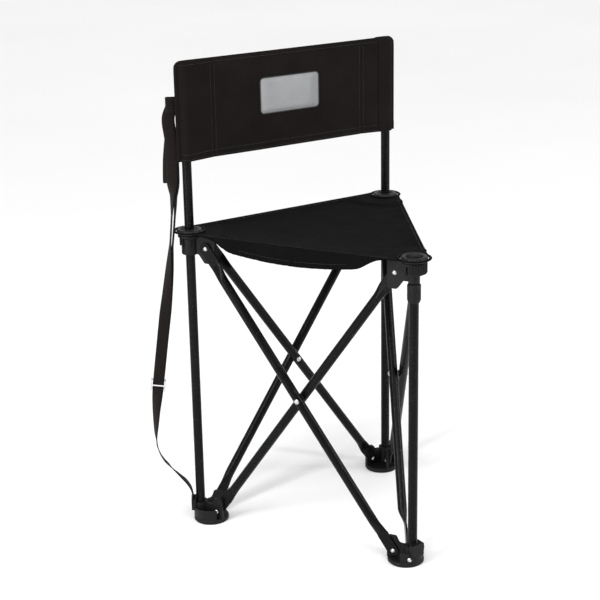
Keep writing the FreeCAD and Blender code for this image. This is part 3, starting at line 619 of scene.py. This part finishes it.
def trim_sector(parts, seat, station):
    """Rolled hem along each lip, and rows of stitches on the lip and inside its crest."""
    bead = oval(*HEM_BEAD, 8)
    for sign in (1, -1):
        hem, ups = seat.line((station, sign), slice(None), -1)
        swept(parts, hem, ups, bead)
        line, ups = seat.line((station, sign), slice(14, None), -1, LIP_STITCH_IN)
        put_stitches(parts, line + ups * (CLOTH / 2), ups)
        column = -1 if sign > 0 else 0
        line, _ = seat.line((station, 0), slice(0, EDGE_ROWS), column, CREST_STITCH_IN)
        up = np.tile([0.0, 0.0, 1.0], (len(line), 1))
        put_stitches(parts, line + up * (CLOTH / 2), up)


def make_corner(station):
    """Cloth that stays with the hub, and the binding sewn round its ring."""
    rows, flat = corner_grid(station)
    points = rows.reshape(-1, 3)
    faces = [face[::-1] for face in grid_faces(*rows.shape[:2])]
    parts = Parts()
    put_cloth(parts, points, faces, face_normals(points, faces), flat.reshape(-1, 3), CLOTH, centred=True)
    cloth = parts.piece(f"seat_corner_cloth_{station}", f"{station}_hub", "seat_fabric",
                        [MATERIALS["seat_fabric"]])
    parts = Parts()
    angle = np.radians(np.arange(0, 365, 5) + 180)
    path = to_row(station, BINDING_R * np.cos(angle), BINDING_R * np.sin(angle), HINGE_Z + 0.3 * MM)
    up = np.tile([0.0, 0.0, 1.0], (len(path), 1))
    swept(parts, path, up, oval(*BINDING_ROLL, 12))
    put_stitches(parts, path + up * BINDING_ROLL[1], up)
    loop = parts.piece(f"seat_ring_binding_{station}", f"{station}_hub", "seat_fabric",
                       [MATERIALS["seat_fabric"], THREAD])
    return cloth, loop


def make_seat_pieces():
    seat = Seat()
    for station in STATIONS:
        parts = Parts()
        put_cloth(parts, *seat.sector(station), CLOTH, centred=True)
        sector = parts.piece(f"seat_sector_{station}", f"seat_corner_{station}", "seat_fabric",
                             [MATERIALS["seat_fabric"]])
        parts = Parts()
        trim_sector(parts, seat, station)
        trim = parts.piece(f"seat_hem_{station}", f"seat_corner_{station}", "seat_fabric",
                           [MATERIALS["seat_fabric"], THREAD])
        patch = make_patch(station, seat)
        corner, loop = make_corner(station)
        for piece in (sector, trim, patch, corner):
            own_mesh(piece)
        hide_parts("seat_cloth")
        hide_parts(f"seat_patch_{station}")


def make_patch(station, seat):
    """Second layer sewn under a corner, just inwards of its hinge line, with a stitched outline."""
    band = seat.grids[station, 0][:8, COLUMNS - 8:COLUMNS + 9]
    normals = seat.normals[band]
    top = seat.points[band] - normals * (CLOTH / 2 + 0.25 * MM)
    parts = Parts()
    put_cloth(parts, top.reshape(-1, 3), grid_faces(*band.shape), normals.reshape(-1, 3),
              seat.flat[band].reshape(-1, 3), CLOTH)
    under = top - normals * CLOTH
    for rows, columns in ((1, slice(1, -1)), (-2, slice(1, -1)), (slice(1, -1), 1), (slice(1, -1), -2)):
        put_stitches(parts, under[rows, columns], -normals[rows, columns])
    return parts.piece(f"seat_patch_cloth_{station}", f"seat_corner_{station}", "seat_fabric",
                       [MATERIALS["seat_fabric"], THREAD])


# ---- back sleeve ----
def sleeve_half(x):
    """Half thickness of the sleeve at x: a pocket round each leg, a thin panel between the seams."""
    leg_x = LEG_SPACING / 2
    x = np.abs(x)
    slope = math.atan2(LOBE_R - PANEL_HALF, leg_x - SEAM_X)
    ramp = PANEL_HALF + (x - SEAM_X) * math.tan(slope)
    lobe = np.sqrt(np.clip(LOBE_R ** 2 - (x - leg_x) ** 2, 0, None))
    return np.where(x < SEAM_X, PANEL_HALF,
                    np.where(x < leg_x - LOBE_R * math.sin(slope), ramp, np.maximum(lobe, PANEL_HALF)))


def sleeve_rows():
    low, high = SLEEVE_LOW.z, SLEEVE_HIGH.z
    hem = low + HEM
    band = high - TOP_BAND
    return np.array([low, low + 1 * MM, low + 6 * MM, hem - 1 * MM, hem, hem + 1 * MM,
                     *np.linspace(hem + 6 * MM, band - 6 * MM, 22), band - 1 * MM, band, band + 1 * MM,
                     high - 6 * MM, high - 4 * MM, high - 2.5 * MM, high - 1.2 * MM, high - 0.4 * MM, high])


def sleeve_surface(x, z, face):
    """Outer surface at x and z; face is -1 for the front and 1 for the back."""
    low, high = SLEEVE_LOW.z, SLEEVE_HIGH.z
    closing = np.clip((z - (high - 10 * MM)) / (10 * MM), 0, 1)
    close = np.sqrt(np.clip(1 - closing ** 2, 0.012, 1))
    half = sleeve_half(x) * close
    fold = np.array([noise.noise(Vector((a * 9, b * 26, face * 3.1))) for a, b in
                     zip(np.ravel(x), np.ravel(z))]).reshape(np.shape(x))
    long_fold = np.array([noise.noise(Vector((a * 30, b * 4, face * 7.7))) for a, b in
                          zip(np.ravel(x), np.ravel(z))]).reshape(np.shape(x))
    off_leg = np.clip((LEG_SPACING / 2 - LOBE_R - np.abs(x)) / (30 * MM), 0, 1)
    proud = (0.9 * fold + 0.5 * long_fold) * MM * off_leg * close
    proud = proud + np.where(z < low + HEM, 0.45 * MM, 0) + np.where(z > high - TOP_BAND, 0.4 * MM, 0) * close
    groove = np.exp(-((np.abs(x) - SEAM_X) / (1.3 * MM)) ** 2)
    proud = proud - 0.9 * MM * groove * close
    end = SLEEVE_HIGH.x
    turn = np.clip(z - (high - CORNER_R), 0, CORNER_R)
    reach = end - (CORNER_R - np.sqrt(CORNER_R ** 2 - turn ** 2)) * 0.98
    beyond = np.clip(np.abs(x) - SPLIT_X, 0, None)
    wide = np.sign(x) * (np.minimum(np.abs(x), SPLIT_X) + beyond * (reach - SPLIT_X) / (end - SPLIT_X))
    return np.stack([wide, BACK_Y + face * (half + proud), z], axis=-1)


def sleeve_columns(low, high):
    marks = [SEAM_X, -SEAM_X, SEAM_X + 1.3 * MM, SEAM_X - 1.3 * MM, -SEAM_X - 1.3 * MM, -SEAM_X + 1.3 * MM,
             SPLIT_X, -SPLIT_X]
    leg_x = LEG_SPACING / 2
    lobe = [s * (leg_x + LOBE_R * math.sin(a)) for s in (1, -1) for a in np.radians(np.arange(-80, 81, 8))]
    even = list(np.arange(-0.220, 0.2201, 0.006)) + [SLEEVE_HIGH.x - 0.5 * MM, SLEEVE_LOW.x + 0.5 * MM]
    every = sorted({round(v, 5) for v in marks + lobe + even})
    near = 0.02 * MM
    return np.array([v for v in every if low - near <= v <= high + near])


def put_sleeve(parts, columns):
    """One run of sleeve columns, each (x, face), as a sheet with its own rim."""
    z = sleeve_rows()
    grid = []
    for x, face in columns:
        grid.append(sleeve_surface(np.full(len(z), x), z, face))
    points = np.array(grid)
    faces = grid_faces(points.shape[0], points.shape[1])
    flat_points = points.reshape(-1, 3)
    normals = face_normals(flat_points, faces)
    # A pocket's middle point is on its end, so this test leaves a pocket as it is: the left one's normals
    # point outwards, the right one's inwards, and the right one's cloth lies outside the surface.
    middle = len(flat_points) // 2
    outwards = flat_points[middle][1] - BACK_Y
    if normals[middle][1] * outwards < 0:
        normals = -normals
        faces = [tuple(reversed(f)) for f in faces]
    run = np.concatenate([[0], np.cumsum(np.linalg.norm(np.diff(points[:, 8], axis=0), axis=1))])
    flat = np.stack([np.repeat(run, len(z)), np.tile(z, len(columns)), np.zeros(len(flat_points))], axis=1)
    put_cloth(parts, flat_points, faces, normals, flat, SLEEVE_CLOTH)


def level_stitches(parts, x_low, x_high, z, face):
    x = sleeve_columns(x_low, x_high)
    line = sleeve_surface(x, np.full(len(x), z), face)
    put_stitches(parts, line, np.tile([0, face, 0], (len(x), 1)))


def upright_stitches(parts, x, face):
    z = np.linspace(SLEEVE_LOW.z + 2 * MM, SLEEVE_HIGH.z - TOP_BAND, 30)
    line = sleeve_surface(np.full(len(z), x), z, face)
    put_stitches(parts, line, np.tile([0, face, 0], (len(z), 1)))


def sleeve_trim(parts, x_low, x_high):
    for face in (1, -1):
        for z in (SLEEVE_LOW.z + 3 * MM, SLEEVE_LOW.z + HEM - 3 * MM, SLEEVE_HIGH.z - TOP_BAND + 2 * MM):
            level_stitches(parts, x_low, x_high, z, face)
        for x in (-SEAM_X - 4 * MM, -SEAM_X + 4 * MM, SEAM_X - 4 * MM, SEAM_X + 4 * MM):
            if x_low < x < x_high:
                upright_stitches(parts, x, face)


def make_sleeve():
    """Two leg pockets that go with their legs, and a panel between them that goes with the left leg."""
    end = SLEEVE_HIGH.x
    tip = end - 0.5 * MM
    for name, sign in (("left", -1), ("right", 1)):
        low, high = (-tip, -SPLIT_X) if sign < 0 else (SPLIT_X, tip)
        out = sleeve_columns(low, high)
        out = out if sign > 0 else out[::-1]
        columns = [(x, -1) for x in out] + [(sign * end, 0.0)] + [(x, 1) for x in out[::-1]]
        parts = Parts()
        put_sleeve(parts, columns)
        sleeve_trim(parts, low if sign > 0 else low + 3 * MM, high - 3 * MM if sign > 0 else high)
        parts.piece(f"back_pocket_{name}", f"{name}_leg", "back_fabric",
                                 [MATERIALS["back_fabric"], THREAD])
    parts = Parts()
    for face in (-1, 1):
        columns = [(x, face) for x in sleeve_columns(-SPLIT_X, SPLIT_X)]
        put_sleeve(parts, columns)
    sleeve_trim(parts, -SPLIT_X, SPLIT_X)
    panel = parts.piece("back_panel", "left_leg", "back_fabric", [MATERIALS["back_fabric"], THREAD])
    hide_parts("back_sleeve")
    label = make_label()
    for piece in (panel, label):
        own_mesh(piece)


def make_label():
    """Plain woven label with a whipped edge."""
    low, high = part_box("back_label")
    half_w, half_h, corner = (high.x - low.x) / 2, (high.z - low.z) / 2, 7 * MM
    centre_z = (low.z + high.z) / 2
    outline = []
    for k, (sx, sz) in enumerate(((1, 1), (-1, 1), (-1, -1), (1, -1))):
        for a in np.radians(np.arange(0, 91, 15) + 90 * k):
            outline.append((sx * (half_w - corner) + corner * math.cos(a),
                            sz * (half_h - corner) + corner * math.sin(a)))
    parts = Parts()
    y_front, y_back = low.y - 0.3 * MM, BACK_Y - PANEL_HALF + 1.2 * MM
    rings = []
    for share in (1.0, 0.66, 0.33):
        rings.append([(x * share, z * share) for x, z in outline])
    n = len(outline)
    points = [(x, y_front, centre_z + z) for ring in rings for x, z in ring] + [(0, y_front, centre_z)]
    points += [(x, y_back, centre_z + z) for x, z in outline]
    faces = []
    for r in range(2):
        faces += [(r * n + i, (r + 1) * n + i, (r + 1) * n + (i + 1) % n, r * n + (i + 1) % n)
                  for i in range(n)]
    faces += [(2 * n + i, 3 * n, 2 * n + (i + 1) % n) for i in range(n)]
    back = 3 * n + 1
    faces += [(i, (i + 1) % n, back + (i + 1) % n, back + i) for i in range(n)]
    faces.append(tuple(back + i for i in range(n)))
    parts.put(points, faces, [(p[0], p[2], 0) for p in points])
    loop = [(x, y_front + 0.1 * MM, centre_z + z) for x, z in outline + outline[:1]]
    swept(parts, loop, [(0, -1, 0)] * len(loop), oval(*LABEL_EDGE, 8), kind=1)
    label = parts.piece("back_label_cloth", "left_leg", "label_fabric", [MATERIALS["label_fabric"], THREAD])
    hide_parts("back_label")
    return label


# ---- carry strap ----
def strap_curve(name, route):
    """Smooth centreline with the route's points as its control points, in the row frame."""
    out, _ = station_axes("left")
    curve = bpy.data.curves.new(name, "CURVE")
    curve.dimensions = "3D"
    curve.resolution_u = 16
    spline = curve.splines.new("NURBS")
    spline.points.add(len(route) - 1)
    for point, (x, z) in zip(spline.points, route):
        place = np.array(AXES["left"]) + out * (x * MM)
        point.co = (place[0], place[1], z * MM, 1)
    spline.order_u = 3
    spline.use_endpoint_u = True
    holder = bpy.data.objects.new(name, curve)
    mesh = bpy.data.meshes.new_from_object(holder)
    line = np.array([v.co for v in mesh.vertices], float)
    bpy.data.meshes.remove(mesh)
    bpy.data.objects.remove(holder)
    return line


def ribbon_section():
    w, t = WEBBING_WIDTH / 2, WEBBING_THICK / 2
    return [(-w, -0.3 * t), (-w, 0.3 * t), (-w + 0.5 * MM, t), (-w / 3, 0.86 * t), (w / 3, 0.86 * t),
            (w - 0.5 * MM, t), (w, 0.3 * t), (w, -0.3 * t), (w - 0.5 * MM, -t), (w / 3, -0.86 * t),
            (-w / 3, -0.86 * t), (-w + 0.5 * MM, -t)]


def webbing_along(name, line, shift):
    """Webbing that turns about its line as TWIST says; shift moves it to one side of the line."""
    _, side = station_axes("left")
    along = np.gradient(line, axis=0)
    along /= np.linalg.norm(along, axis=1)[:, None]
    heights, turns = zip(*TWIST)
    angle = np.radians(np.interp(line[:, 2] / MM, heights, turns))
    across = np.cross(along, np.array(side))
    ups = np.array(side) * np.cos(angle)[:, None] + across * np.sin(angle)[:, None]
    line = line + ups * shift
    parts = Parts()
    swept(parts, line, ups, ribbon_section())
    return parts.piece(name, "left_leg", "webbing", [MATERIALS["webbing"], THREAD]), line


def make_strap():
    main_line = strap_curve("strap_line", STRAP_ROUTE)
    strap, main_line = webbing_along("strap_webbing", main_line, 0)
    layer_line = strap_curve("layer_line", LAYER_ROUTE)
    layer, layer_line = webbing_along("strap_second_layer", layer_line, -LAYER_GAP)
    tail, _ = webbing_along("strap_tail", strap_curve("tail_line", TAIL_ROUTE), -2 * LAYER_GAP)
    tab = make_tab()
    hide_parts("carry_strap")
    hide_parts("strap_return")


def make_tab():
    """Webbing folded round the top of the strap and sewn into the pocket's edge."""
    out, side = station_axes("left")
    low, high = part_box("strap_tab")
    start, reach, half = 9.5 * MM, 27 * MM, 3.6 * MM
    plan = [(start, half), (reach, half)]
    plan += [(reach + half * math.sin(a), half * math.cos(a)) for a in np.radians(np.arange(15, 180, 15))]
    plan += [(reach, -half), (start, -half)]
    middle = (low.z + high.z) / 2
    line = [np.array(AXES["left"]) + out * x + side * y + np.array((0, 0, middle)) for x, y in plan]
    ups = np.array([side if i < 2 else (-side if i > len(plan) - 3 else
                    out * math.sin(math.radians(15 * (i - 1))) + side * math.cos(math.radians(15 * (i - 1))))
                    for i in range(len(plan))])
    parts = Parts()
    swept(parts, line, ups, [(s * 1.25, u) for s, u in ribbon_section()])
    for sign in (1, -1):
        for height in (-9 * MM, 9 * MM):
            ends = [np.array(AXES["left"]) + out * x + side * (sign * (half + WEBBING_THICK / 2))
                    + np.array((0, 0, middle + height)) for x in (12 * MM, reach)]
            put_stitches(parts, ends, [side * sign] * 2)
    tab = parts.piece("strap_tab_webbing", "left_leg", "webbing", [MATERIALS["webbing"], THREAD])
    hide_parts("strap_tab")
    return tab


# ---- studio ----
def make_camera():
    turn, pitch, roll = (math.radians(a) for a in (CAMERA_TURN, CAMERA_PITCH, CAMERA_ROLL))
    ahead = Vector((math.sin(turn) * math.cos(pitch), math.cos(turn) * math.cos(pitch), -math.sin(pitch)))
    right = Vector((math.cos(turn), -math.sin(turn), 0))
    up = right.cross(ahead)
    x = right * math.cos(roll) + up * math.sin(roll)
    y = up * math.cos(roll) - right * math.sin(roll)
    camera = bpy.data.objects.new("camera", bpy.data.cameras.new("camera"))
    camera.data.lens = CAMERA_LENS
    camera.data.sensor_width = 36
    camera.matrix_world = Matrix.Translation(CAMERA_PLACE) @ Matrix((x, y, -ahead)).transposed().to_4x4()
    bpy.context.scene.collection.objects.link(camera)
    bpy.context.scene.camera = camera


def area_light(name, place, target, size, power):
    light = bpy.data.lights.new(name, "AREA")
    light.shape = "RECTANGLE"
    light.size, light.size_y = size
    light.energy = power
    lamp = bpy.data.objects.new(name, light)
    lamp.location = place
    lamp.rotation_euler = (Vector(target) - Vector(place)).to_track_quat("-Z", "Y").to_euler()
    bpy.context.scene.collection.objects.link(lamp)


def make_studio():
    half = 20.0
    mesh = bpy.data.meshes.new("studio_floor")
    mesh.from_pydata([(-half, -half, 0), (half, -half, 0), (half, half, 0), (-half, half, 0)], [],
                     [(0, 1, 2, 3)])
    mesh.materials.append(pale_floor())
    floor = bpy.data.objects.new("studio_floor", mesh)
    bpy.context.scene.collection.objects.link(floor)
    world = bpy.data.worlds.new("studio")
    world.use_nodes = True
    world.node_tree.nodes["Background"].inputs["Color"].default_value = (1, 1, 1, 1)
    world.node_tree.nodes["Background"].inputs["Strength"].default_value = 0.62
    bpy.context.scene.world = world
    sun = bpy.data.lights.new("soft_sun", "SUN")
    sun.energy = 1.4
    sun.angle = math.radians(50)
    lamp = bpy.data.objects.new("soft_sun", sun)
    lamp.rotation_euler = (math.radians(28), math.radians(-12), math.radians(-20))
    bpy.context.scene.collection.objects.link(lamp)
    middle = (0, 0, 0.45)
    area_light("left_strip", (-2.2, -0.4, 1.2), middle, (0.3, 2.0), 40)
    area_light("right_strip", (1.6, -1.7, 1.3), middle, (0.25, 1.8), 30)
    bpy.context.scene.view_settings.view_transform = "Standard"


make_camera()
make_strap()
make_seat_pieces()
make_sleeve()
finish_cad_nodes()
make_studio()
